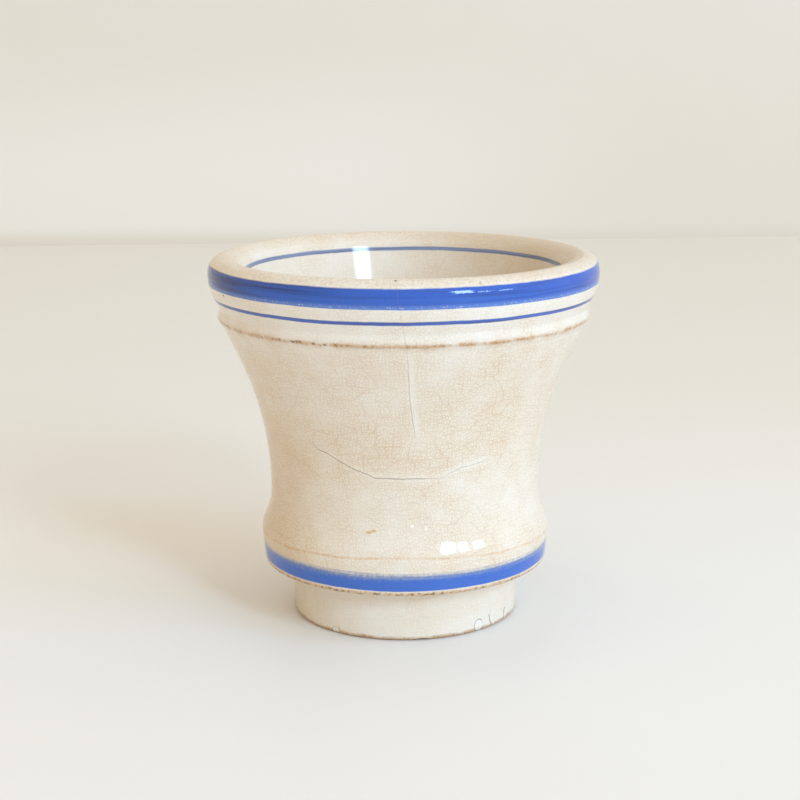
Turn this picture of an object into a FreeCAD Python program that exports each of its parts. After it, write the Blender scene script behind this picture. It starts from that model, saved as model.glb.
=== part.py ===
"""A glazed ceramic mortar, turned about +Z, with four painted cobalt rings let into its glaze.

Millimetres. The origin is the centre of the foot's resting face. The spreadsheet "sizes" drives
every sketch and cylinder. The section is one chain of round bends joined by straight runs, each
run tangent to the bends at its two ends. The rings are thin solids, flush with the surface, each
lying in a groove of its own shape in the mortar's body.
"""
import FreeCAD, Part
import math
import os

import Sketcher
from FreeCAD import Vector

os.makedirs("parts", exist_ok=True)
doc = FreeCAD.newDocument("mortar")

# Radii are measured from the axis, heights from the table, and a bend is the radius of a rounding.
SIZES = {
    "foot_radius": 35.15, "foot_edge_bend": 0.9, "foot_fillet": 2.2,
    "recess_radius": 27.0, "recess_depth": 3.0, "recess_bend": 1.2,
    "underside_radius": 44.35, "underside_height": 17.0, "underside_bend": 1.0,
    "bead_radius": 45.15, "bead_height": 26.75, "bead_bend": 8.0,
    "waist_radius": 42.05, "waist_low": 39.35, "waist_high": 40.85,
    "sweep_bend": 17.6, "flare_bend": 96.0,
    "step_radius": 55.9, "step_height": 92.3, "step_bend": 0.5,
    "ledge_radius": 57.35, "ledge_height": 94.5, "ledge_bend": 1.0,
    "groove_radius": 56.85, "groove_height": 97.0, "groove_bend": 1.6,
    "roll_radius": 59.97, "roll_height": 106.7, "roll_bend": 12.5,
    "rim_radius": 60.0, "overall_height": 112.7, "lip_bend": 4.8,
    "lip_inner_bend": 5.9, "crest_radius": 54.8,
    "wall": 10.0, "bowl_floor": 20.0, "bowl_bend": 32.3,
    "paint_depth": 0.3,
    "rim_band_bottom": 104.6, "rim_band_top": 111.2,
    "rim_line_bottom": 99.95, "rim_line_top": 101.45,
    "foot_band_bottom": 18.2, "foot_band_top": 24.8,
    "inner_line_bottom": 106.8, "inner_line_top": 108.4,
    "outside_radius": 70.0,
}

OUT = 1     # a bend that the section goes round with the clay on the inside: a rounded edge
IN = -1     # a bend that hollows the section: a fillet or a groove

# Every bend of the section, from the recess under the foot, up the outside and down the inside:
# its name, the radius and height of its centre, its own radius, and which way it turns.
BENDS = [
    ("recess", "recess_radius - recess_bend", "recess_depth - recess_bend", "recess_bend", IN),
    ("foot_inside", "recess_radius + foot_edge_bend", "foot_edge_bend", "foot_edge_bend", OUT),
    ("foot_outside", "foot_radius - foot_edge_bend", "foot_edge_bend", "foot_edge_bend", OUT),
    ("foot_top", "foot_radius + foot_fillet", "underside_height - foot_fillet", "foot_fillet", IN),
    ("underside", "underside_radius - underside_bend", "underside_height + underside_bend",
     "underside_bend", OUT),
    ("bead", "bead_radius - bead_bend", "bead_height", "bead_bend", OUT),
    ("sweep", "waist_radius + sweep_bend", "waist_low", "sweep_bend", IN),
    ("flare", "waist_radius + flare_bend", "waist_high", "flare_bend", IN),
    ("step", "step_radius + step_bend", "step_height - step_bend", "step_bend", IN),
    ("ledge", "ledge_radius - ledge_bend", "ledge_height", "ledge_bend", OUT),
    ("groove", "groove_radius + groove_bend", "groove_height", "groove_bend", IN),
    ("roll", "roll_radius - roll_bend", "roll_height", "roll_bend", OUT),
    ("lip", "rim_radius - lip_bend", "overall_height - lip_bend", "lip_bend", OUT),
    ("lip_inner", "crest_radius", "overall_height - lip_inner_bend", "lip_inner_bend", OUT),
    ("inner_wall", "waist_radius + flare_bend", "waist_high", "flare_bend + wall", OUT),
    ("bowl", "", "bowl_floor + bowl_bend", "bowl_bend", IN),
]

# Every painted ring, and the radii between which its own side of the wall lies at its height.
RINGS = {
    "rim_band": ("crest_radius", "outside_radius"),
    "rim_line": ("crest_radius", "outside_radius"),
    "foot_band": ("foot_radius", "outside_radius"),
    "inner_line": ("waist_radius", "crest_radius"),
}


def amount(formula):
    """The value of a sum or difference of named sizes; an empty formula is zero."""
    total = 0.0
    sign = 1
    for word in formula.split():
        if word in ("+", "-"):
            sign = 1 if word == "+" else -1
        else:
            total += sign * SIZES[word]
    return total


def bound(formula):
    """The same formula as an expression that reads the spreadsheet."""
    return " ".join(word if word in ("+", "-") else "sizes." + word for word in formula.split())


def make_sheet():
    sheet = doc.addObject("Spreadsheet::Sheet", "sizes")
    for row, (alias, value) in enumerate(SIZES.items(), start=1):
        sheet.set("A%d" % row, alias)
        sheet.set("B%d" % row, str(value))
        sheet.setAlias("B%d" % row, alias)
    doc.recompute()


def heading_between(first, second):
    """The direction of the straight run that leaves one bend and enters the next."""
    (centre_1, radius_1, turn_1), (centre_2, radius_2, turn_2) = first, second
    across = centre_2 - centre_1
    lean = math.asin((turn_1 * radius_1 - turn_2 * radius_2) / across.Length)
    return math.atan2(across.y, across.x) + lean


def add_driven(sketch, name, formula, *constraint):
    """Add a dimension to a sketch and bind it to the spreadsheet."""
    index = sketch.addConstraint(Sketcher.Constraint(*constraint, amount(formula)))
    sketch.renameConstraint(index, name)
    sketch.setExpression("Constraints." + name, bound(formula))


def draw_section(sketch, inset):
    """Draw the mortar's half section, or the same section with all its faces moved in by inset."""
    bends = []
    for name, radius, height, bend, turn in BENDS:
        bend_formula = bend
        if inset:
            bend_formula += (" - " if turn == OUT else " + ") + inset
        centre = Vector(amount(radius), amount(height), 0)
        bends.append((name, radius, height, bend_formula, (centre, amount(bend_formula), turn)))

    circles = [bend[4] for bend in bends]
    headings = [0.0]
    headings += [heading_between(a, b) for a, b in zip(circles[:-1], circles[1:])]
    headings += [math.pi]

    origin, axis = -1, -2
    start_point, end_point, centre_point = 1, 2, 3
    last_geometry, last_point, place = None, None, None
    for (name, radius, height, bend_formula, circle), enter, leave in zip(
            bends, headings[:-1], headings[1:]):
        centre, bend_radius, turn = circle
        angles = [enter - turn * math.pi / 2, leave - turn * math.pi / 2]
        entry, exit_ = [centre + bend_radius * Vector(math.cos(a), math.sin(a), 0) for a in angles]
        points = (start_point, end_point)
        if turn == IN:
            angles.reverse()
            points = (end_point, start_point)

        run_start = place or Vector(0, entry.y, 0)
        run = sketch.addGeometry(Part.LineSegment(run_start, entry), False)
        arc_circle = Part.Circle(centre, Vector(0, 0, 1), bend_radius)
        arc = sketch.addGeometry(Part.ArcOfCircle(arc_circle, *angles), False)
        if last_geometry is None:
            first_run = run
            sketch.addConstraint(Sketcher.Constraint("PointOnObject", run, start_point, axis))
            sketch.addConstraint(Sketcher.Constraint("Horizontal", run))
        else:
            sketch.addConstraint(
                Sketcher.Constraint("Tangent", last_geometry, last_point, run, start_point))
        sketch.addConstraint(Sketcher.Constraint("Tangent", run, end_point, arc, points[0]))
        if radius:
            add_driven(sketch, name + "_across", radius, "DistanceX", origin, 1, arc, centre_point)
        else:
            sketch.addConstraint(Sketcher.Constraint("PointOnObject", arc, centre_point, axis))
        add_driven(sketch, name + "_up", height, "DistanceY", origin, 1, arc, centre_point)
        add_driven(sketch, name + "_bend", bend_formula, "Radius", arc)
        last_geometry, last_point, place = arc, points[1], exit_

    first_place = Vector(0, bends[0][4][0].y + bends[0][4][1], 0)
    close = sketch.addGeometry(Part.LineSegment(place, first_place), False)
    sketch.addConstraint(Sketcher.Constraint("PointOnObject", arc, last_point, axis))
    sketch.addConstraint(Sketcher.Constraint("Coincident", arc, last_point, close, start_point))
    sketch.addConstraint(
        Sketcher.Constraint("Coincident", close, end_point, first_run, start_point))


def turned_body(name, inset=""):
    """A solid turned about +Z from the section."""
    body = doc.addObject("PartDesign::Body", name)
    sketch = body.newObject("Sketcher::SketchObject", name + "_section")
    plane = next(item for item in body.Origin.OriginFeatures if item.Role == "XZ_Plane")
    sketch.AttachmentSupport = [(plane, "")]
    sketch.MapMode = "FlatFace"
    draw_section(sketch, inset)
    turn = body.newObject("PartDesign::Revolution", name + "_turn")
    turn.Profile = sketch
    turn.ReferenceAxis = (sketch, ["V_Axis"])
    turn.Angle = 360
    body.Tip = turn
    return body


def cylinder(name, radius, bottom, top):
    """An upright cylinder about +Z between two heights."""
    solid = doc.addObject("Part::Cylinder", name)
    solid.setExpression("Radius", bound(radius))
    solid.setExpression("Height", bound(top + " - " + bottom))
    solid.setExpression("Placement.Base.z", bound(bottom))
    return solid


def boolean(kind, name, base, tool):
    """Part::Cut or Part::Common of two objects."""
    result = doc.addObject("Part::" + kind, name)
    result.Base = base
    result.Tool = tool
    result.Label = name
    return result


def groove_ring(name, near, far, core):
    """The space of one painted ring: a slice of the wall's skin that stands out past its face."""
    bottom, top = name + "_bottom", name + "_top"
    outer = cylinder(name + "_outer", far, bottom, top)
    inner = cylinder(name + "_inner", near, bottom, top)
    slice_ = boolean("Cut", name + "_slice", outer, inner)
    return boolean("Cut", name + "_groove", slice_, core)


def check(parts, blank):
    """Stop unless every object is sound and the parts together fill the uncut mortar."""
    for item in doc.Objects:
        if "Invalid" in item.State or "Error" in item.State:
            raise RuntimeError("%s is in state %s" % (item.Name, item.State))
    for item in parts:
        shape = item.Shape
        if shape.isNull() or not shape.isValid() or len(shape.Solids) != 1:
            raise RuntimeError("%s isn't one sound solid" % item.Label)
        print("%-12s %10.2f mm3, %d faces" % (item.Label, shape.Volume, len(shape.Faces)))
    total = sum(item.Shape.Volume for item in parts)
    if abs(total - blank.Shape.Volume) > 1.0:
        raise RuntimeError("the parts hold %.2f mm3 and the uncut mortar %.2f mm3"
                           % (total, blank.Shape.Volume))
    whole = Part.makeCompound([item.Shape for item in parts])
    box = whole.optimalBoundingBox(True, False)
    print("box %.2f x %.2f x %.2f mm" % (box.XLength, box.YLength, box.ZLength))


make_sheet()
blank = turned_body("blank")
core = turned_body("core", inset="paint_depth")
grooves = [groove_ring(name, near, far, core) for name, (near, far) in RINGS.items()]
all_grooves = doc.addObject("Part::MultiFuse", "all_grooves")
all_grooves.Shapes = grooves
parts = [boolean("Cut", "mortar_body", blank, all_grooves)]
parts += [boolean("Common", name, blank, groove) for name, groove in zip(RINGS, grooves)]
doc.recompute()

check(parts, blank)
for part in parts:
    part.Shape.exportStep("parts/%s.step" % part.Label)
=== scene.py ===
"""Looks for a glazed ceramic mortar with painted cobalt rings.

Metres, in the CAD frame: +Z up, the foot standing on z = 0. The mortar and its rings are turned
meshes cut from one displaced grid, so their outer faces run on from one to the next. Angles are
degrees round the axis from the front, which is -Y, towards +X. Sizes of the section, of marks and
of patterns are in millimetres.
"""

import math

import bpy
import numpy as np
from mathutils import Matrix, Vector


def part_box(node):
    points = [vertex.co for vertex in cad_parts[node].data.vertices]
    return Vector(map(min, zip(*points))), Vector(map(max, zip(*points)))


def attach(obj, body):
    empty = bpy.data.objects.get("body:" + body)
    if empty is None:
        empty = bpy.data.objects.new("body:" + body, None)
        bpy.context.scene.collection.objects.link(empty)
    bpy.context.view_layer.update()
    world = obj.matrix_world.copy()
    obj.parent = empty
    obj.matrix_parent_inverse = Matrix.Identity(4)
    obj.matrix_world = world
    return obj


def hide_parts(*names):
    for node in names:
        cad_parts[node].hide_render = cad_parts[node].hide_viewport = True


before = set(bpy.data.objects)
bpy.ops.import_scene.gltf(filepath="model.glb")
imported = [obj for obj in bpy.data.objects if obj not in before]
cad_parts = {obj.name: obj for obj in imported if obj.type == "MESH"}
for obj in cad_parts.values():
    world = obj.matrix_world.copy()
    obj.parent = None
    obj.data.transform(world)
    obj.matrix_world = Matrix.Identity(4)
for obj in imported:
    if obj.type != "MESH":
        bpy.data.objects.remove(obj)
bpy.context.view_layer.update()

MM = 0.001
RINGS = ("rim_band", "rim_line", "foot_band", "inner_line")
RING_HEIGHTS = {name: [corner.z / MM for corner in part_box(name)] for name in RINGS}
RIM_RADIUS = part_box("rim_band")[1].x / MM
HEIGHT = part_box("mortar_body")[1].z / MM

# ---------------------------------------------------------------- the mortar's section

OUT = 1     # a rounded edge, with the clay inside the bend
IN = -1     # a hollow, such as a fillet or a groove

FOOT_RADIUS = 35.15
RECESS_RADIUS = 27.0
RECESS_DEPTH = 3.0
UNDERSIDE_RADIUS = 44.35
UNDERSIDE_HEIGHT = 17.0
BEAD_RADIUS = 45.15
BEAD_HEIGHT = 26.75
WAIST_RADIUS = 42.05
FLARE_BEND = 96.0
FLARE_HEIGHT = 40.85
STEP_RADIUS = 55.9
STEP_HEIGHT = 92.3
LEDGE_RADIUS = 57.35
LEDGE_HEIGHT = 94.5
GROOVE_RADIUS = 56.85
ROLL_RADIUS = 59.97
CREST_RADIUS = 54.8
WALL = 10.0
BOWL_FLOOR = 20.0
BOWL_BEND = 32.3
ROUND_TOP = 52.0            # about where the bowl's round bottom meets its wall

# Every bend of the section, from the recess under the foot, up the outside and down the inside:
# radius and height of its centre, its own radius, and which way it turns.
BENDS = [
    ("recess", RECESS_RADIUS - 1.2, RECESS_DEPTH - 1.2, 1.2, IN),
    ("foot_inside", RECESS_RADIUS + 0.9, 0.9, 0.9, OUT),
    ("foot_outside", FOOT_RADIUS - 0.9, 0.9, 0.9, OUT),
    ("foot_top", FOOT_RADIUS + 2.2, UNDERSIDE_HEIGHT - 2.2, 2.2, IN),
    ("underside", UNDERSIDE_RADIUS - 1.0, UNDERSIDE_HEIGHT + 1.0, 1.0, OUT),
    ("bead", BEAD_RADIUS - 8.0, BEAD_HEIGHT, 8.0, OUT),
    ("sweep", WAIST_RADIUS + 17.6, 39.35, 17.6, IN),
    ("flare", WAIST_RADIUS + FLARE_BEND, FLARE_HEIGHT, FLARE_BEND, IN),
    ("step", STEP_RADIUS + 0.5, STEP_HEIGHT - 0.5, 0.5, IN),
    ("ledge", LEDGE_RADIUS - 1.0, LEDGE_HEIGHT, 1.0, OUT),
    ("groove", GROOVE_RADIUS + 1.6, 97.0, 1.6, IN),
    ("roll", ROLL_RADIUS - 12.5, 106.7, 12.5, OUT),
    ("lip", RIM_RADIUS - 4.8, HEIGHT - 4.8, 4.8, OUT),
    ("lip_inner", CREST_RADIUS, HEIGHT - 5.9, 5.9, OUT),
    ("inner_wall", WAIST_RADIUS + FLARE_BEND, FLARE_HEIGHT, FLARE_BEND + WALL, OUT),
    ("bowl", 0.0, BOWL_FLOOR + BOWL_BEND, BOWL_BEND, IN),
]

COLUMNS = 400
ROUND_STEP = 0.18           # spacing along a bend, as a share of its radius
FINEST = 0.3                # the least spacing along a bend, and the most
COARSEST = 2.4
RUN_STEP = 1.4              # spacing along a straight run
PAINT_DEPTH = 0.3           # depth of a ring's groove
PAINT_THICKNESS = 0.28      # a ring just misses the floor of its groove


def heading_between(first, second):
    """The direction of the straight run from one bend to the next, tangent to both."""
    _, x1, z1, r1, turn1 = first
    _, x2, z2, r2, turn2 = second
    gap = math.hypot(x2 - x1, z2 - z1)
    return math.atan2(z2 - z1, x2 - x1) + math.asin((turn1 * r1 - turn2 * r2) / gap)


def section():
    """The section as rows of radius and height, from the foot's centre to the bowl's centre."""
    headings = [0.0]
    headings += [heading_between(a, b) for a, b in zip(BENDS[:-1], BENDS[1:])]
    headings += [math.pi]
    points = [(0.0, BENDS[0][2] + BENDS[0][3])]
    for (_, x, z, bend, turn), enter, leave in zip(BENDS, headings[:-1], headings[1:]):
        sweep = turn * (((leave - enter) * turn) % (2 * math.pi))
        step = min(max(bend * ROUND_STEP, FINEST), COARSEST)
        count = max(3, math.ceil(abs(sweep) * bend / step))
        arc = [(x + turn * bend * math.sin(enter + sweep * i / count),
                z - turn * bend * math.cos(enter + sweep * i / count)) for i in range(count + 1)]
        start = points[-1]
        pieces = math.ceil(math.dist(start, arc[0]) / RUN_STEP)
        points += [(start[0] + (arc[0][0] - start[0]) * k / pieces,
                    start[1] + (arc[0][1] - start[1]) * k / pieces) for k in range(1, pieces)]
        points += arc
    return points


def split_at(points, height, inside):
    """Add the point where the outside or the inside of the section crosses a height."""
    crest = max(range(len(points)), key=lambda i: points[i][1])
    span = range(crest, len(points) - 1) if inside else range(crest - 1, -1, -1)
    for i in span:
        (r1, z1), (r2, z2) = points[i], points[i + 1]
        if min(z1, z2) < height < max(z1, z2):
            share = (height - z1) / (z2 - z1)
            points.insert(i + 1, (r1 + (r2 - r1) * share, height))
            return
    raise ValueError("the section never crosses %.2f mm" % height)


def clean(points, keep, closest=0.05):
    """Drop points that lie on top of another, but none at a height in keep."""
    kept = [points[0]]
    for point in points[1:]:
        if math.dist(point, kept[-1]) > closest:
            kept.append(point)
        elif point[1] in keep:
            kept[-1] = point
    return kept


def ring_rows(points, heights, inside):
    """The first and last row that a ring between two heights covers, on its side of the crest."""
    crest = max(range(len(points)), key=lambda i: points[i][1])
    found = [i for i, point in enumerate(points) if point[1] in heights and (i > crest) == inside]
    return min(found), max(found)


# ---------------------------------------------------------------- relief

SWELL = 0.07            # how unevenly the clay was thrown
LEDGE_NICKS = 0.32      # the deepest nick in the ledge's edge
FRONT_CHIPS = [         # nicks in the foot's edge: angle, height, half width, half height, depth
    (39.2, 1.9, 1.6, 1.9, 0.4),
    (-37.5, 1.0, 1.4, 1.0, 0.2),
]
CHIPS = FRONT_CHIPS + [
    (8.0, 0.0, 2.2, 0.5, 0.35),
    (118.0, 0.2, 2.6, 1.1, 0.6),
    (-122.0, 0.3, 1.6, 0.8, 0.5),
    (171.0, 0.1, 3.0, 0.7, 0.4),
]


def rise(value, low, high):
    """0 below low, 1 above high, smooth between."""
    share = np.clip((value - low) / (high - low), 0.0, 1.0)
    return share * share * (3 - 2 * share)


def signed(angle):
    """The same angle between -180 and 180."""
    return (angle + 180) % 360 - 180


def ragged(angle, count, seed):
    """Smooth noise from -1 to 1 that closes on itself after a full turn."""
    knots = np.random.default_rng(seed).uniform(-1, 1, count)
    place = (angle / 360.0 * count) % count
    low = np.floor(place).astype(int)
    share = rise(place - low, 0.0, 1.0)
    return knots[low % count] * (1 - share) + knots[(low + 1) % count] * share


def relief(angle, radius, height):
    """How far the surface lies inside the true section, in millimetres."""
    turn = np.radians(angle)
    swell = (0.5 * np.sin(2 * turn + 0.7 + height / 40) + 0.3 * np.sin(3 * turn + 2.1 - height / 55)
             + 0.2 * np.sin(5 * turn + height / 23))
    depth = SWELL * (1 + swell)
    outside = rise(radius, 50.0, 52.0)
    near_ledge = outside * np.exp(-((height - LEDGE_HEIGHT) / 0.9) ** 2)
    nicks = np.clip(0.6 * ragged(angle, 230, 3) + 0.6 * ragged(angle, 90, 4), 0, 1)
    depth += LEDGE_NICKS * near_ledge * nicks
    on_foot = rise(radius, 30.0, 32.0) * rise(UNDERSIDE_HEIGHT - 1 - height, 0.0, 1.0)
    for at, level, wide, tall, deep in CHIPS:
        across = np.radians(signed(angle - at)) * radius
        distance = np.hypot(across / wide, (height - level) / tall)
        depth += deep * on_foot * (1 - rise(distance, 0.55, 1.05))
    return depth


def displaced_grid(rows, angle):
    """Positions and outward normals of the whole turned surface, rows by columns."""
    turn = np.radians(angle)
    tangent = np.gradient(rows, axis=0)
    tangent /= np.linalg.norm(tangent, axis=1, keepdims=True)
    out_r, out_z = tangent[:, 1], -tangent[:, 0]
    depth = relief(angle[None, :], rows[:, :1], rows[:, 1:])
    radius = rows[:, :1] - depth * out_r[:, None]
    radius[[0, -1]] = 0.0
    level = np.maximum(rows[:, 1:] - depth * out_z[:, None], 0.0)
    grid = np.stack([radius * np.sin(turn), -radius * np.cos(turn), level], axis=-1)
    along = np.gradient(grid, axis=0)
    across = np.roll(grid, -1, axis=1) - np.roll(grid, 1, axis=1)
    normal = np.cross(across, along)
    size = np.linalg.norm(normal, axis=2, keepdims=True)
    normal = normal / np.maximum(size, 1e-9)
    normal[0] = (0, 0, -1)
    normal[-1] = (0, 0, 1)
    return grid, normal


# ---------------------------------------------------------------- hairline cracks

DROP_PATH = [       # heights, and the angle at each
    (64.4, 4.4), (69.2, 2.9), (77.2, 1.7), (93.0, 0.7), (103.2, -0.9), (112.3, -2.2),
]
SMILE_PATH = [      # angles, and the height at each
    (-37.8, 61.7), (-34.4, 59.5), (-31.3, 58.9), (-21.3, 55.3), (-14.5, 53.5), (-12.5, 52.6),
    (15.0, 52.3), (17.0, 53.5), (22.6, 55.1), (28.7, 55.6), (34.1, 56.4),
]
SMILE_COSINE = 0.93     # of the path's usual slope, which turns a height into a distance


def drop_crack(angle, radius, height):
    """Signed distance from the hairline that runs down the front from the lip, and its strength."""
    centre = np.interp(height, *zip(*DROP_PATH))
    across = np.radians(signed(angle - centre)) * radius
    strength = rise(height, 63.0, 69.0)
    on_top = rise(radius, CREST_RADIUS - 0.8, CREST_RADIUS + 0.2)
    return across, np.where(height < LEDGE_HEIGHT, strength, strength * on_top)


def smile_crack(angle, radius, height):
    """Signed distance from the curved hairline across the front, and its strength."""
    side = signed(angle)
    curve = np.interp(side, *zip(*SMILE_PATH))
    ends = rise(side, -38.5, -35) * (1 - rise(side, 31, 36))
    faint = 1 - 0.6 * np.exp(-((side - 13) / 6.0) ** 2)
    return (height - curve) * SMILE_COSINE, ends * faint


CRACKS = {"drop": drop_crack, "smile": smile_crack}
FARTHEST = 12.0         # a crack's distance is held to this, well past any mark it makes


# ---------------------------------------------------------------- meshes

class Turned:
    """A turned mesh under construction: rows of vertices, and the strips of faces between them."""

    def __init__(self, surface):
        self.surface = surface
        self.rows = []          # (row of the section, positions)
        self.strips = []        # (row, next row, normals at the row, normals at the next row)

    def row(self, number, inset=0.0):
        """Add a row of the section, moved in along its normals, and return its index."""
        place = self.surface.place[number] - inset * self.surface.normal[number]
        if number in (0, len(self.surface.place) - 1):
            place = place[:1]
        self.rows.append((number, place))
        return len(self.rows) - 1

    def skin(self, low, high, sign=1):
        """Join two rows by a strip that shades as the section's own surface does."""
        normals = [sign * self.surface.normal[self.rows[i][0]] for i in (low, high)]
        self.strips.append((low, high, *normals))

    def wall(self, low, high):
        """Join two rows by a flat strip, with a sharp edge at each."""
        along = self.rows[high][1] - self.rows[low][1]
        across = np.roll(self.rows[low][1], -1, axis=0) - np.roll(self.rows[low][1], 1, axis=0)
        normal = np.cross(across, along)
        normal /= np.linalg.norm(normal, axis=1, keepdims=True)
        self.strips.append((low, high, normal, normal))

    def finish(self, name):
        """Make the Blender object, with the surface's fields on its vertices."""
        starts = np.cumsum([0] + [len(place) for _, place in self.rows])
        faces = []
        normals = []
        for low, high, low_normal, high_normal in self.strips:
            corners = []
            shades = []
            for i, normal in ((low, low_normal), (high, high_normal)):
                numbers = np.arange(starts[i], starts[i + 1])
                corners.append((numbers, np.roll(numbers, -1)) if len(numbers) > 1 else (numbers,))
                shades.append((normal, np.roll(normal, -1, axis=0)))
            loop = [*corners[0], *reversed(corners[1])]
            shade = [*shades[0][:len(corners[0])], *reversed(shades[1][:len(corners[1])])]
            faces += np.stack([np.broadcast_to(c, COLUMNS) for c in loop], axis=1).tolist()
            normals.append(np.stack(shade, axis=1).reshape(-1, 3))
        mesh = bpy.data.meshes.new(name)
        mesh.from_pydata((np.concatenate([p for _, p in self.rows]) * MM).tolist(), [], faces)
        mesh.polygons.foreach_set("use_smooth", np.ones(len(mesh.polygons), bool))
        mesh.normals_split_custom_set(np.concatenate(normals).tolist())
        for label, values in self.surface.fields.items():
            field = mesh.attributes.new(label, "FLOAT", "POINT")
            parts = [values[number][:len(place)] for number, place in self.rows]
            field.data.foreach_set("value", np.concatenate(parts).astype(np.float32))
        piece = bpy.data.objects.new(name, mesh)
        bpy.context.scene.collection.objects.link(piece)
        return piece


class Surface:
    """The whole displaced grid of the mortar's surface, with the rows that its rings span.

    Its fields hold a number for every vertex: each crack's distance and strength, whether the
    vertex is in the bowl, and how far along the section it lies.
    """

    def __init__(self):
        points = section()
        for name, levels in RING_HEIGHTS.items():
            for level in levels:
                split_at(points, level, inside=name == "inner_line")
        points = clean(points, keep={level for pair in RING_HEIGHTS.values() for level in pair})
        self.spans = {name: ring_rows(points, levels, inside=name == "inner_line")
                      for name, levels in RING_HEIGHTS.items()}
        rows = np.array(points)
        angle = np.linspace(0, 360, COLUMNS, endpoint=False)
        self.place, self.normal = displaced_grid(rows, angle)
        shape = (len(rows), COLUMNS)
        inside = np.arange(len(rows)) > np.argmax(rows[:, 1])
        self.fields = {}
        for label, crack in CRACKS.items():
            distance, strength = crack(angle[None, :], rows[:, :1], rows[:, 1:])
            self.fields[label] = np.broadcast_to(np.clip(distance, -FARTHEST, FARTHEST), shape)
            self.fields[label + "_strength"] = np.broadcast_to(strength * ~inside[:, None], shape)
        self.fields["inside"] = np.broadcast_to(inside[:, None].astype(float), shape)
        steps = np.linalg.norm(np.diff(rows, axis=0), axis=1)
        along = np.concatenate([[0.0], np.cumsum(steps)])
        self.fields["along"] = np.broadcast_to(along[:, None], shape)
        self.outside = rows[~inside]

    def reach(self, height):
        """Radius of the outside at a height above the underside."""
        upper = self.outside[self.outside[:, 1] > UNDERSIDE_HEIGHT + 1.0]
        return float(np.interp(height, upper[:, 1], upper[:, 0]))


def build_body(surface):
    """The clay body, closed, with a shallow groove for each ring."""
    turned = Turned(surface)
    starts = {first: last for first, last in surface.spans.values()}
    number = 0
    last_row = None
    while number < len(surface.place):
        row = turned.row(number)
        if last_row is not None:
            turned.skin(last_row, row)
        last_row = row
        if number in starts:
            floor = [turned.row(i, PAINT_DEPTH) for i in range(number, starts[number] + 1)]
            turned.wall(last_row, floor[0])
            for low, high in zip(floor[:-1], floor[1:]):
                turned.skin(low, high)
            number = starts[number]
            last_row = turned.row(number)
            turned.wall(floor[-1], last_row)
        number += 1
    return turned.finish("mortar_body_glazed")


def build_ring(surface, name):
    """A painted ring, closed, filling its groove."""
    turned = Turned(surface)
    first, last = surface.spans[name]
    outer = [turned.row(i) for i in range(first, last + 1)]
    inner = [turned.row(i, PAINT_THICKNESS) for i in range(last, first - 1, -1)]
    for low, high in zip(outer[:-1], outer[1:]):
        turned.skin(low, high)
    turned.wall(outer[-1], inner[0])
    for low, high in zip(inner[:-1], inner[1:]):
        turned.skin(low, high, sign=-1)
    turned.wall(inner[-1], outer[0])
    return turned.finish(name + "_painted")


SURFACE = Surface()


# ---------------------------------------------------------------- node formulas

# The radius at which each stretch of the wall is laid out flat: foot, body, round bottom, bowl.
FOOT_SPREAD = 36.0
OUTER_SPREAD = 50.0
ROUND_SPREAD = 30.0
INNER_SPREAD = 43.0
PLAN_RADIUS = 22.0          # nearer the axis than this, the plan takes over
RECESS_PLAN_RADIUS = 34.0   # and under the foot, nearer than this

IOR = 1.5                   # of the glaze, and near enough of the table and the wall


def srgb(red, green, blue):
    """A colour given in 0 to 255, in the linear values that shaders use."""
    values = [c / 255 for c in (red, green, blue)]
    linear = [v / 12.92 if v < 0.04045 else ((v + 0.055) / 1.055) ** 2.4 for v in values]
    return (*linear, 1.0)


class Field:
    """A number that varies over the surface, written as a formula and kept as nodes."""

    def __init__(self, graph, socket):
        self.graph = graph
        self.socket = socket

    def __add__(self, other):
        return self.graph.math("ADD", self, other)

    def __sub__(self, other):
        return self.graph.math("SUBTRACT", self, other)

    def __mul__(self, other):
        return self.graph.math("MULTIPLY", self, other)

    def __rsub__(self, other):
        return self.graph.math("SUBTRACT", other, self)

    def __abs__(self):
        return self.graph.math("ABSOLUTE", self)

    __radd__ = __add__
    __rmul__ = __mul__

    def rise(self, low, high):
        """0 below low, 1 above high, smooth between."""
        return self.graph.node("MapRange", 0, [self, low, high, 0.0, 1.0],
                               interpolation_type="SMOOTHSTEP")

    def band(self, low, high, soft):
        """1 between low and high, 0 outside, with soft edges that lie inside them."""
        return self.rise(low, low + soft) * (1 - self.rise(high - soft, high))

    def bump(self, middle, reach):
        """1 at the middle, fading to 0 at a distance of reach from it."""
        return 1 - abs(self - middle).rise(0.0, reach)

    def at_most(self, other):
        """The smaller of the two."""
        return self.graph.math("MINIMUM", self, other)

    def at_least(self, other):
        """The larger of the two."""
        return self.graph.math("MAXIMUM", self, other)

    def clamped(self):
        """Held between 0 and 1."""
        return self.at_least(0.0).at_most(1.0)


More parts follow.
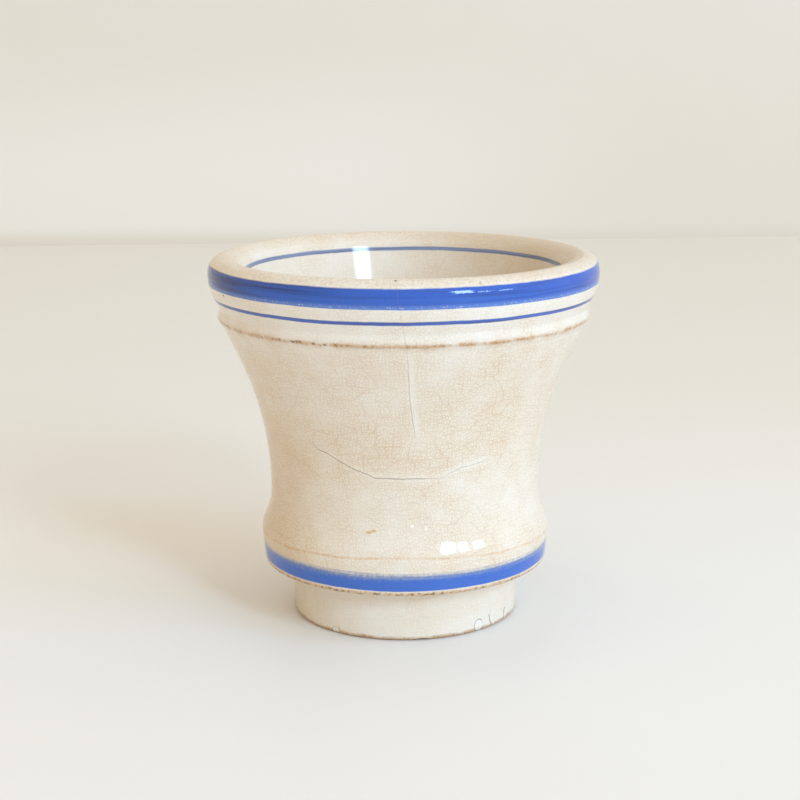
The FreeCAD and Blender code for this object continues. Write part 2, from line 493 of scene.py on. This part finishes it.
class Graph:
    """A material's node tree, with a short call for each kind of node it uses.

    Its place, x, y, z and radius are millimetres in the object's own frame.
    """

    def __init__(self, name):
        self.material = bpy.data.materials.new(name)
        self.material.use_nodes = True
        self.tree = self.material.node_tree
        self.tree.nodes.clear()
        place = self.node("TexCoord", "Object", {})
        self.place = self.vector_math("SCALE", place, Scale=1 / MM)
        self.x, self.y, self.z = [self.node("SeparateXYZ", i, [self.place]) for i in range(3)]
        self.radius = self.math("SQRT", self.x * self.x + self.y * self.y)

    def node(self, kind, output, inputs, **settings):
        """Add a node, set it up, link or set its inputs, and return one of its outputs."""
        node = self.tree.nodes.new("ShaderNode" + kind)
        for name, value in settings.items():
            setattr(node, name, value)
        named = inputs.items() if isinstance(inputs, dict) else enumerate(inputs)
        for key, value in named:
            socket = node.inputs[key]
            if isinstance(value, Field):
                self.tree.links.new(value.socket, socket)
            else:
                socket.default_value = value
        return Field(self, node.outputs[output])

    def math(self, operation, *values):
        """A number worked out from others."""
        return self.node("Math", 0, values, operation=operation)

    def vector_math(self, operation, first, second=None, **named):
        """A vector worked out from one or two others, and from inputs given by their names."""
        inputs = {0: first, **named}
        if second is not None:
            inputs[1] = second
        return self.node("VectorMath", 0, inputs, operation=operation)

    def mix(self, share, first, second):
        """The first colour where share is 0, the second where it is 1."""
        inputs = {0: share, 6: first, 7: second}
        return self.node("Mix", 2, inputs, data_type="RGBA")

    def attribute(self, name):
        """One of the fields that the mesh carries on its vertices."""
        return self.node("Attribute", "Fac", {}, attribute_name=name)

    def stretched(self, across, along):
        """The place with its widths and its heights scaled, for a streaky pattern."""
        return self.vector_math("MULTIPLY", self.place, (across, across, along))

    def noise(self, size, detail=2.0, place=None, shift=0.0):
        """Smooth noise from 0 to 1, about 0.5, with features of a size in millimetres."""
        place = self.vector_math("ADD", place or self.place, (shift, 0.37 * shift, 0.61 * shift))
        return self.node("TexNoise", "Fac", {"Vector": place, "Scale": 1 / size, "Detail": detail})

    def warped(self, place, amount, size):
        """The place moved about by noise, so that straight lines waver."""
        inputs = {"Vector": place, "Scale": 1 / size, "Detail": 1.0}
        push = self.node("TexNoise", "Color", inputs)
        push = self.vector_math("SUBTRACT", push, (0.5, 0.5, 0.5))
        return self.vector_math("ADD", place, self.vector_math("SCALE", push, Scale=2 * amount))

    def above(self, value, limit):
        """1 where the value is over the limit, 0 elsewhere."""
        return self.math("GREATER_THAN", value, limit)

    def unrolled(self):
        """The place on the surface laid out flat: round the mortar, and along its section.

        Near the axis in the bowl, and under the foot, it is the plan instead.
        """
        turn = self.math("ARCTAN2", self.x, -1 * self.y)
        inside = self.above(self.attribute("inside"), 0.5)
        over_foot = self.above(self.z, UNDERSIDE_HEIGHT + 0.1)
        over_round = self.above(self.z, ROUND_TOP)
        outer = FOOT_SPREAD + (OUTER_SPREAD - FOOT_SPREAD) * over_foot
        inner = ROUND_SPREAD + (INNER_SPREAD - ROUND_SPREAD) * over_round
        spread = outer * (1 - inside) + inner * inside
        near = self.above(PLAN_RADIUS - self.radius, 0.0)
        under = self.above(RECESS_PLAN_RADIUS - self.radius, 0.0)
        plan = near.at_least(under * self.above(RECESS_DEPTH + 0.2 - self.z, 0.0))
        across = turn * spread * (1 - plan) + self.x * plan
        up = self.attribute("along") * (1 - plan) + self.y * plan
        return self.node("CombineXYZ", 0, [across, up, 0.0])

    def cells(self, place, size, randomness=1.0):
        """Millimetres to the nearest border of a flat pattern of cells, and each cell's colour."""
        inputs = {"Vector": place, "Scale": 1 / size, "Randomness": randomness}
        border = self.node("TexVoronoi", "Distance", inputs, feature="DISTANCE_TO_EDGE",
                           voronoi_dimensions="2D")
        colour = self.node("TexVoronoi", "Color", inputs, feature="F1", voronoi_dimensions="2D")
        return border * size, colour

    def distance(self, angle, radius, height, stretch=1.0):
        """Distance from a point on the surface, with heights counted stretch times over."""
        turn = math.radians(angle)
        point = (radius * math.sin(turn), -radius * math.cos(turn), height)
        offset = self.vector_math("SUBTRACT", self.place, point)
        offset = self.vector_math("MULTIPLY", offset, (1.0, 1.0, stretch))
        return self.node("VectorMath", "Value", [offset], operation="LENGTH")

    def finish(self, colour, roughness, height):
        """Close the tree with a principled surface; height is in millimetres."""
        bump = self.node("Bump", "Normal", {"Height": height, "Distance": MM, "Strength": 1.0})
        inputs = {"Base Color": colour, "Roughness": roughness, "Normal": bump, "IOR": IOR}
        shader = self.node("BsdfPrincipled", 0, inputs)
        output = self.tree.nodes.new("ShaderNodeOutputMaterial")
        self.tree.links.new(shader.socket, output.inputs["Surface"])
        return self.material


# ---------------------------------------------------------------- glaze

GLOSS = 0.045               # roughness of the sound glaze

IVORY = srgb(240, 236, 229)
STAIN_AND_SHADE_TINT = srgb(228, 213, 189)
# painted shade for the low left side
SHADE_LOW_LEFT = srgb(212, 190, 160)
RUBBED = srgb(200, 176, 142)
SHADED = srgb(196, 184, 168)
GROUND = srgb(205, 196, 180)
# painted light for the lit right of the foot
LIT_FOOT_COOL = srgb(241, 240, 240)
PALE = srgb(243, 242, 239)
# painted highlight colour for small glints on the bead
GLINT_WHITE = srgb(252, 252, 250)

CRAZE = srgb(200, 154, 104)
CRACK = srgb(136, 104, 80)
TAN = srgb(214, 164, 104)
FLECK = srgb(218, 168, 98)
BROWN = srgb(186, 140, 88)
RUST = srgb(188, 144, 92)
DARK_BROWN = srgb(104, 76, 50)
PIT = srgb(40, 34, 30)

CLAY = srgb(196, 172, 138)
BISQUE = srgb(222, 206, 180)

CRAZE_COARSE = 3.6          # sizes of the cells in the three generations of crazing
CRAZE_MIDDLE = 2.3
CRAZE_FINE = 1.05
CRAZE_JUMP = 80.0           # how far apart neighbouring cells take their inner pattern from

FOOT_STROKES = [    # dark hairlines up from the foot's edge: angle, lowest, highest, sideways lean
    (48.4, 0.4, 4.6, -0.3),
    (59.2, 0.0, 4.4, 0.25),
    (-36.0, 0.2, 2.4, 0.2),
]
MARKS = [           # angle, height, half width, how much wider than high, strength, colour
    (-14.6, 35.9, 1.3, 2.4, 0.8, FLECK),
    (-12.7, 36.4, 1.2, 2.4, 0.8, FLECK),
    (-61.7, 104.2, 0.6, 1.0, 0.9, DARK_BROWN),
    (-2.4, 112.5, 0.55, 1.0, 0.95, PIT),
    (21.0, 111.4, 0.6, 1.0, 0.6, BROWN),
    # the next two are painted highlights: small glints of the windows on the bead
    (2.8, 38.0, 0.7, 1.2, 0.8, GLINT_WHITE),
    (8.2, 37.2, 0.6, 0.7, 0.5, GLINT_WHITE),
]


def outside_only(g):
    """1 on the outside of the mortar and 0 in the bowl."""
    return 1 - g.attribute("inside").rise(0.3, 0.7)


def foot_only(g):
    """1 on the foot, fading out just below the underside."""
    return 1 - g.z.rise(UNDERSIDE_HEIGHT - 3.0, UNDERSIDE_HEIGHT)


def rubbed_lip(g):
    """1 on the top of the lip, where use has rubbed the gloss away."""
    return g.z.rise(HEIGHT - 3.2, HEIGHT - 1.0)


def ground_floor(g):
    """How far grinding has dulled the bottom of the bowl, from 0 to 1."""
    low = 1 - g.z.rise(BOWL_FLOOR + 4.0, ROUND_TOP)
    patches = g.noise(6.0, 3.0, shift=150.0).rise(0.35, 0.65)
    return low * (1 - outside_only(g)) * (0.6 + 0.4 * patches)


def stains_and_shade(g):
    """How tea-coloured the glaze is, from 0 to 1: stains in patches, with painted shade added low on
    the left, faintly on the right, and on the right inside the bowl.
    """
    patches = g.noise(30.0, 2.0) - 0.5 + 0.7 * (g.noise(7.0, 3.0, shift=40.0) - 0.5)
    outside = outside_only(g)
    # painted shade: left darkens the low left of the outside, right faintly darkens the right side
    # and strongly the right of the bowl's inside
    left = 1 - g.x.rise(-42.0, -20.0)
    right = g.x.rise(-10.0, 40.0)
    upper = g.z.band(46.0, LEDGE_HEIGHT, 12.0) - 1.2 * g.z.rise(LEDGE_HEIGHT + 0.1, 96.0)
    outer = 0.36 + 0.16 * upper + 0.5 * left * (1 - g.z.rise(40.0, 80.0)) + 0.1 * right
    inner = 0.3 + 0.5 * right
    return (patches + outer * outside + inner * (1 - outside)).clamped()


def crazing(g):
    """Fine cracks of the glaze in three generations, each ending at the one before it."""
    place = g.warped(g.unrolled(), 1.3, 13.0)
    place = g.warped(place, 0.16, 1.5)
    coarse, jump = g.cells(g.vector_math("MULTIPLY", place, (0.32, 1.0, 1.0)), CRAZE_COARSE)
    place = g.vector_math("ADD", place, g.vector_math("SCALE", jump, Scale=CRAZE_JUMP))
    middle, jump = g.cells(place, CRAZE_MIDDLE, 0.85)
    place = g.vector_math("ADD", place, g.vector_math("SCALE", jump, Scale=CRAZE_JUMP))
    fine, _ = g.cells(place, CRAZE_FINE, 0.65)
    bold = g.noise(14.0, 2.0, shift=90.0).rise(0.42, 0.62)
    there = g.noise(6.0, shift=15.0).rise(0.3, 0.6)
    lines = (0.55 + 0.35 * there) * (1 - fine.rise(0.03, 0.12))
    lines = lines.at_least((0.6 + 0.15 * bold) * (1 - middle.rise(0.03, 0.12)))
    return lines.at_least((0.45 + 0.35 * bold) * (1 - coarse.rise(0.02, 0.11)))


def add_wear_and_painted_light(g, colour):
    """Broad tints: brown painted shade low on the left and painted shade in the bowl's right, rubbed
    on the lip, dull in the bowl, painted light pale on the foot's right.
    """
    outside = outside_only(g)
    # painted shade: brown low on the left, on the shadow side
    low_left = (1 - g.x.rise(-43.0, -18.0)) * (1 - g.z.rise(45.0, 80.0)) * outside
    colour = g.mix(0.45 * low_left, colour, SHADE_LOW_LEFT)
    speckle = g.noise(0.75, 3.0, shift=61.0).rise(0.4, 0.7)
    colour = g.mix(rubbed_lip(g) * (0.2 + 0.4 * speckle), colour, RUBBED)
    # painted shade on the right of the bowl's inside, which faces away from the light
    colour = g.mix(0.4 * (1 - outside) * g.x.rise(-20.0, 40.0), colour, SHADED)
    colour = g.mix(0.6 * ground_floor(g), colour, GROUND)
    # painted light: the foot's right side paler and cooler
    return g.mix(0.27 * foot_only(g) * g.x.rise(0.0, 30.0), colour, LIT_FOOT_COOL)


def add_edge_stains(g, colour):
    """Brown lines where dirt gathers: under the ledge, on the underside's edge, round the bead."""
    outside = outside_only(g)
    wave = 0.5 * (g.noise(9.0, 3.0, shift=7.0) - 0.5)
    dots = g.noise(1.1, 3.0, shift=3.0)
    breaks = g.noise(6.0, 2.0, shift=55.0)

    ledge = (g.z + 1.4 * wave).bump(LEDGE_HEIGHT - 0.4, 0.95) * outside
    smear = (g.z + 2 * wave).bump(LEDGE_HEIGHT - 0.6, 1.9) * outside
    colour = g.mix(0.35 * smear * breaks.rise(0.35, 0.6), colour, BROWN)
    there = (0.5 + 0.5 * breaks.rise(0.38, 0.5)) * (0.45 + 0.5 * dots.rise(0.4, 0.6))
    colour = g.mix(ledge * there, colour, RUST)
    left = 1 - g.x.rise(-22.0, 0.0)
    dark = ledge * dots.rise(0.56, 0.66) * (0.2 + 0.8 * left)
    colour = g.mix(0.8 * dark, colour, DARK_BROWN)

    edge = (g.z + 0.8 * wave).band(UNDERSIDE_HEIGHT - 0.3, UNDERSIDE_HEIGHT + 1.6, 0.7)
    edge = edge * g.radius.rise(42.0, 43.0)
    colour = g.mix(edge * (0.45 + 0.35 * dots.rise(0.35, 0.6)), colour, RUST)
    colour = g.mix(0.6 * edge * dots.rise(0.54, 0.64), colour, DARK_BROWN)

    bead = (g.z + 2.4 * wave + 0.05 * abs(g.x)).bump(BEAD_HEIGHT + 2.55, 0.65) * outside
    share = 0.2 + 0.5 * breaks.rise(0.4, 0.6) * dots.rise(0.3, 0.65)
    return g.mix(bead * share, colour, TAN)


def add_foot_wear(g, colour):
    """A chipped bottom edge that turns brown towards the bottom, and the bare clay that the mortar
    stands on.
    """
    wave = 1.6 * (g.noise(5.0, 3.0, shift=21.0) - 0.5)
    foot = outside_only(g) * (1 - g.radius.rise(36.0, 37.0))
    edge = 1 - (g.z + wave).rise(0.3, 1.7)
    colour = g.mix(0.85 * edge * foot, colour, BROWN)
    dots = g.noise(0.9, 3.0, shift=33.0).rise(0.55, 0.66)
    colour = g.mix(0.6 * edge * foot * dots, colour, DARK_BROWN)
    bare = (1 - g.z.rise(0.03, 0.3)) * foot
    grit = g.noise(0.7, 3.0, shift=70.0)
    colour = g.mix(bare, colour, g.mix(grit, CLAY, BISQUE))
    for angle, low, high, lean in FOOT_STROKES:
        turn = math.radians(angle)
        along = g.x * math.cos(turn) + g.y * math.sin(turn)
        near = 1 - g.distance(angle, FOOT_RADIUS, 2.5).rise(3.0, 4.5)
        wavy = along - (g.z - low) * lean + 0.9 * (g.noise(2.2, 2.0, shift=11.0) - 0.5)
        line = (1 - abs(wavy).rise(0.06, 0.28)) * g.z.band(low - 0.2, high, 0.4) * near
        colour = g.mix(0.75 * line, colour, DARK_BROWN)
    for angle, level, wide, tall, _ in FRONT_CHIPS:
        away = g.distance(angle, FOOT_RADIUS, level, stretch=wide / tall) + 0.5 * wave
        beside = angle + math.degrees(wide / FOOT_RADIUS)
        open_side = 1 - g.distance(beside, FOOT_RADIUS, level).bump(0.0, 1.3 * wide)
        rim = away.bump(wide, 0.26) * foot * open_side
        colour = g.mix(0.55 * (1 - away.rise(wide - 0.3, wide)) * foot, colour, PALE)
        colour = g.mix((0.38 + 0.12 * tall) * rim, colour, DARK_BROWN)
    return colour


def add_crack(g, colour, name, left_width, right_width, halo_share, dark_share):
    """A hairline, with the pale glaze beside it where no stain crept in."""
    away = g.attribute(name) + 0.7 * (g.noise(3.0, 3.0, shift=5.0) - 0.5)
    strength = g.attribute(name + "_strength")
    halo = away.rise(-left_width, 0.0) * (1 - away.rise(0.35 * right_width, right_width))
    colour = g.mix(halo * halo_share * strength, colour, PALE)
    line = (1 - abs(away).rise(0.03, 0.2)) * strength
    return g.mix(line * dark_share, colour, CRACK)


def add_cracks(g, colour):
    """The two hairlines: the drop fades near the ledge, the smile towards the right."""
    colour = add_crack(g, colour, "drop", 0.9, 2.6,
                       halo_share=0.4 * (1 - g.z.rise(88.0, 94.0)),
                       dark_share=0.48 * (1 - 0.6 * g.z.rise(84.0, 94.0)))
    return add_crack(g, colour, "smile", 1.9, 1.9,
                     halo_share=0.4 * (0.25 + 0.75 * g.x.rise(-22.0, 12.0)),
                     dark_share=0.75 * (1 - 0.5 * g.x.rise(0.0, 20.0)))


def add_marks(g, colour):
    """Single marks: flecks and painted highlights above the bead, a spot under the band, specks on
    the lip.
    """
    for angle, height, half_width, stretch, share, tint in MARKS:
        away = g.distance(angle, SURFACE.reach(height), height, stretch)
        spot = 1 - away.rise(0.4 * half_width, half_width)
        colour = g.mix(share * spot, colour, tint)
    return colour


def glazed(name, paint=None):
    """The mortar's glaze; paint, if given, lays a colour under it."""
    g = Graph(name)
    # real tea stains plus painted shade on the sides, which also sets how much the crazing shows
    stain_and_shade = stains_and_shade(g)
    tint = 0.25 * (g.noise(1.6, 2.0, shift=120.0) - 0.5)
    colour = g.mix((stain_and_shade + tint).clamped(), IVORY, STAIN_AND_SHADE_TINT)
    colour = add_wear_and_painted_light(g, colour)
    foot = foot_only(g)
    rubbed = rubbed_lip(g)
    lines = crazing(g)
    shown = (1 - 0.5 * foot) * (1 - 0.4 * rubbed) * (0.6 + 0.4 * outside_only(g))
    line_share = lines * shown * (0.16 + 0.62 * stain_and_shade)
    if paint:
        colour, cover = paint(g, colour)
        line_share = line_share * (1 - 0.88 * cover)
    colour = g.mix(line_share, colour, CRAZE)
    colour = add_edge_stains(g, colour)
    colour = add_foot_wear(g, colour)
    colour = add_cracks(g, colour)
    colour = add_marks(g, colour)
    peel = 0.015 * g.noise(5.0, 1.0, shift=200.0) + 0.0015 * g.noise(1.0, 1.0, shift=210.0)
    bare = 1 - g.z.rise(0.05, 0.5)
    roughness = GLOSS + 0.34 * rubbed + 0.18 * foot + 0.5 * bare + 0.35 * ground_floor(g)
    return g.finish(colour, roughness.clamped(), peel - 0.003 * lines)


# ---------------------------------------------------------------- paint

COBALT = srgb(46, 96, 194)
# thick paint, and also painted shade on the left of the wide band
COBALT_THICK_AND_SHADED = srgb(36, 64, 126)
COBALT_THIN = srgb(104, 140, 208)
FOOT_COBALT = srgb(56, 108, 202)
FOOT_COBALT_THICK = srgb(48, 96, 194)
FOOT_COBALT_DRY = srgb(128, 146, 184)
FADED_COBALT = srgb(106, 130, 174)
FADED_COBALT_THICK = srgb(72, 98, 150)


def brushed(g, ring, gaps, softness):
    """How fully the brush covered a ring, from 0 to 1, with edges that waver.

    The gaps lie between the paint and the ring's lower and upper edge, and the softness is how
    far the paint takes to thicken from each.
    """
    bottom, top = RING_HEIGHTS[ring]
    low = bottom + gaps[0]
    high = top - gaps[1]
    wave = 0.5 * (g.noise(16.0, 2.0, shift=9.0) - 0.5) + 0.16 * (g.noise(2.6, 2.0, shift=19.0) - 0.5)
    level = g.z + wave
    return level.rise(low, low + softness[0]) * (1 - level.rise(high - softness[1], high))


def streaks(g):
    """Brush marks drawn out round the mortar."""
    return g.noise(1.0, 3.0, place=g.stretched(0.035, 1.6), shift=31.0)


def paint_rim_band(g, colour):
    """The wide band, thin and flecked along its lower edge, with painted shade making it dark over
    its upper half on the left and at its far left.
    """
    bottom, _ = RING_HEIGHTS["rim_band"]
    cover = brushed(g, "rim_band", (0.1, 0.35), (0.25, 0.5))
    flecks = g.z.bump(bottom + 0.8, 0.6) * g.noise(0.5, 2.0, shift=77.0).rise(0.54, 0.68)
    thin = (1 - g.z.rise(bottom + 0.4, bottom + 2.0)) * (0.4 + 0.6 * streaks(g))
    # painted shade: the wide band darker over its upper half on the left and at its far left
    far_left = 1 - g.x.rise(-56.0, -34.0)
    upper_left = g.z.rise(bottom + 2.4, bottom + 5.4) * (1 - g.x.rise(-45.0, 5.0))
    thick_and_shaded = upper_left.at_least(far_left)
    ink = g.mix((0.75 * thick_and_shaded + 2.6 * (streaks(g) - 0.5)).clamped(), COBALT, COBALT_THICK_AND_SHADED)
    ink = g.mix(thin.clamped(), ink, COBALT_THIN)
    cover = cover * (1 - 0.35 * flecks)
    return g.mix(cover, colour, ink), cover


def paint_rim_line(g, colour):
    """The thin line under the wide band."""
    cover = brushed(g, "rim_line", (0.1, 0.05), (0.25, 0.25))
    ink = g.mix(streaks(g).rise(0.35, 0.7), COBALT, COBALT_THICK_AND_SHADED)
    return g.mix(cover * 0.95, colour, ink), cover


def paint_foot_band(g, colour):
    """The band round the bead, which a drying brush left grey and broken along its top."""
    _, top = RING_HEIGHTS["foot_band"]
    dry = 3.0 * (streaks(g) - 0.5) + 1.6 * (g.noise(0.9, 2.0, shift=44.0) - 0.5)
    level = g.z + dry
    cover = brushed(g, "foot_band", (0.4, 0.1), (0.3, 0.4))
    cover = cover * (1 - 0.85 * level.rise(top - 1.8, top - 0.2))
    ink = g.mix((1.1 * (streaks(g) - 0.4)).clamped(), FOOT_COBALT, FOOT_COBALT_THICK)
    ink = g.mix(level.rise(top - 3.3, top - 1.3), ink, FOOT_COBALT_DRY)
    return g.mix(cover, colour, ink), cover


def paint_inner_line(g, colour):
    """The faded line inside the lip."""
    cover = brushed(g, "inner_line", (0.0, 0.0), (0.4, 0.45))
    ink = g.mix(streaks(g).rise(0.35, 0.65), FADED_COBALT, FADED_COBALT_THICK)
    return g.mix(cover * 0.9, colour, ink), cover


PAINTS = {
    "rim_band": (paint_rim_band, "cobalt_glaze"),
    "rim_line": (paint_rim_line, "cobalt_glaze"),
    "foot_band": (paint_foot_band, "cobalt_glaze"),
    "inner_line": (paint_inner_line, "faded_cobalt_glaze"),
}


# ---------------------------------------------------------------- the mortar

body = build_body(SURFACE)
body.data.materials.append(glazed("ivory_crazed_glaze"))
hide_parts("mortar_body")
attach(body, "root")
for ring_name, (paint, slot) in PAINTS.items():
    ring = build_ring(SURFACE, ring_name)
    ring.data.materials.append(glazed(ring_name + "_paint", paint))
    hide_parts(ring_name)
    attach(ring, "root")


# ---------------------------------------------------------------- table and wall

# In metres. The table's back edge isn't quite square to the view, and hides the foot of the wall.
TABLE_HALF = 2.0
TABLE_BACK = 0.92
TABLE_TURN = math.radians(2.6)
WALL_BACK = 1.5
WALL_HALF = 4.0
WALL_FOOT = -1.5
WALL_TOP = 3.0

TABLE = srgb(238, 238, 238)
TABLE_FAR = srgb(231, 229, 223)
WALL_TINT = srgb(240, 239, 236)
WALL_LIGHT = srgb(247, 249, 251)
# painted shade along the table's back edge and the foot of the wall just above it
CONTACT_SHADE = srgb(231, 229, 224)


def shaded_table(g, colour):
    """The table has painted shade: a little darker and warmer away from the windows, and darker
    along its back edge.
    """
    away = g.y.rise(0.0, 350.0) * (0.65 + 0.35 * g.x.rise(-100.0, 300.0))
    colour = g.mix(away, colour, TABLE_FAR)
    edge = TABLE_BACK / MM
    return g.mix(g.y.rise(edge - 85.0, edge - 10.0), colour, CONTACT_SHADE)


def shaded_wall(g, colour):
    """The wall has painted light, paler and cooler low on the left, and painted shade just above the
    table's edge.
    """
    low_left = (1 - g.z.rise(0.0, 190.0)) * (1 - g.x.rise(-100.0, 350.0))
    colour = g.mix(low_left, colour, WALL_LIGHT)
    return g.mix(1 - g.z.rise(-80.0, -50.0), colour, CONTACT_SHADE)


def plain(name, colour, roughness, shaded):
    """A matt surface with a faint mottle, shaded by one of the functions above."""
    g = Graph(name)
    darker = tuple(0.93 * c for c in colour[:3]) + (1.0,)
    mottled = g.mix(0.25 * g.noise(60.0, 3.0), colour, darker)
    return g.finish(shaded(g, mottled), roughness, 0.02 * g.noise(0.8, 2.0))


def slab(name, corners, material):
    """A flat stage surface from its corners."""
    mesh = bpy.data.meshes.new(name)
    mesh.from_pydata(corners, [], [tuple(range(len(corners)))])
    mesh.materials.append(material)
    item = bpy.data.objects.new(name, mesh)
    bpy.context.scene.collection.objects.link(item)


skew = TABLE_HALF * math.tan(TABLE_TURN)
slab("table_top",
     [(-TABLE_HALF, -TABLE_HALF, 0), (TABLE_HALF, -TABLE_HALF, 0),
      (TABLE_HALF, TABLE_BACK + skew, 0), (-TABLE_HALF, TABLE_BACK - skew, 0)],
     plain("table_white", TABLE, 0.5, shaded_table))
slab("back_wall",
     [(-WALL_HALF, WALL_BACK, WALL_FOOT), (WALL_HALF, WALL_BACK, WALL_FOOT),
      (WALL_HALF, WALL_BACK, WALL_TOP), (-WALL_HALF, WALL_BACK, WALL_TOP)],
     plain("wall_warm", WALL_TINT, 0.9, shaded_wall))


# ---------------------------------------------------------------- light

SKY = (0.24, 0.56, 1.0)
WINDOW = (0.52, 0.76, 1.0)
ROOM = (1.0, 0.86, 0.66, 1.0)
ROOM_STRENGTH = 0.85
ROOM_LEAN = (0.14, 0.13, 0.13)      # how much brighter the room is to the right, behind and above


def window_light(name, azimuth, elevation, distance, size, power, colour, glossy=True):
    """An area light that faces the mortar, placed by its direction from the mortar.

    The azimuth is counted like the angles round the mortar.
    """
    light = bpy.data.lights.new(name, "AREA")
    light.shape = "RECTANGLE"
    light.size, light.size_y = size
    light.energy = power
    light.color = colour
    lamp = bpy.data.objects.new(name, light)
    turn = math.radians(azimuth)
    lift = math.radians(elevation)
    level = math.cos(lift)
    way = Vector((math.sin(turn) * level, -math.cos(turn) * level, math.sin(lift)))
    target = Vector((0, 0, 0.5 * HEIGHT * MM))
    lamp.location = target + distance * way
    lamp.rotation_euler = way.to_track_quat("Z", "Y").to_euler()
    lamp.visible_glossy = glossy
    bpy.context.scene.collection.objects.link(lamp)


def room_light():
    """Warm light from all round, a little stronger from some sides."""
    world = bpy.data.worlds.new("room")
    bpy.context.scene.world = world
    world.use_nodes = True
    tree = world.node_tree
    room = tree.nodes["Background"]
    room.inputs["Color"].default_value = ROOM
    way = tree.nodes.new("ShaderNodeTexCoord")
    lean = tree.nodes.new("ShaderNodeVectorMath")
    lean.operation = "DOT_PRODUCT"
    lean.inputs[1].default_value = ROOM_LEAN
    level = tree.nodes.new("ShaderNodeMath")
    level.operation = "ADD"
    level.inputs[1].default_value = ROOM_STRENGTH
    tree.links.new(way.outputs["Generated"], lean.inputs[0])
    tree.links.new(lean.outputs["Value"], level.inputs[0])
    tree.links.new(level.outputs[0], room.inputs["Strength"])


window_light("window_bright", 35.0, 27.0, 2.6, (0.48, 0.74), 26.0, WINDOW)
window_light("window_side", 47.5, 21.5, 2.6, (0.3, 0.24), 4.5, WINDOW)
window_light("window_far", 61.0, 19.5, 2.6, (0.36, 0.17), 3.4, WINDOW)
window_light("daylight_right", 60.0, 42.0, 2.8, (1.1, 1.1), 15.0, SKY, glossy=False)
room_light()
bpy.context.scene.view_settings.view_transform = "Standard"


# ---------------------------------------------------------------- camera

CAMERA_DISTANCE = 8.470 * RIM_RADIUS
CAMERA_HEIGHT = 3.006 * RIM_RADIUS
CAMERA_ASIDE = -0.022 * RIM_RADIUS
CAMERA_PITCH = math.radians(12.64)
CAMERA_ROLL = math.radians(-0.394)

lens = bpy.data.cameras.new("camera")
lens.lens = 50.0
lens.sensor_width = 24.0
lens.clip_start = 0.01
camera = bpy.data.objects.new("camera", lens)
bpy.context.scene.collection.objects.link(camera)
spot = Vector((CAMERA_ASIDE, -CAMERA_DISTANCE, CAMERA_HEIGHT)) * MM
camera.matrix_world = (Matrix.Translation(spot)
                       @ Matrix.Rotation(math.pi / 2 - CAMERA_PITCH, 4, "X")
                       @ Matrix.Rotation(CAMERA_ROLL, 4, "Z"))
bpy.context.scene.camera = camera
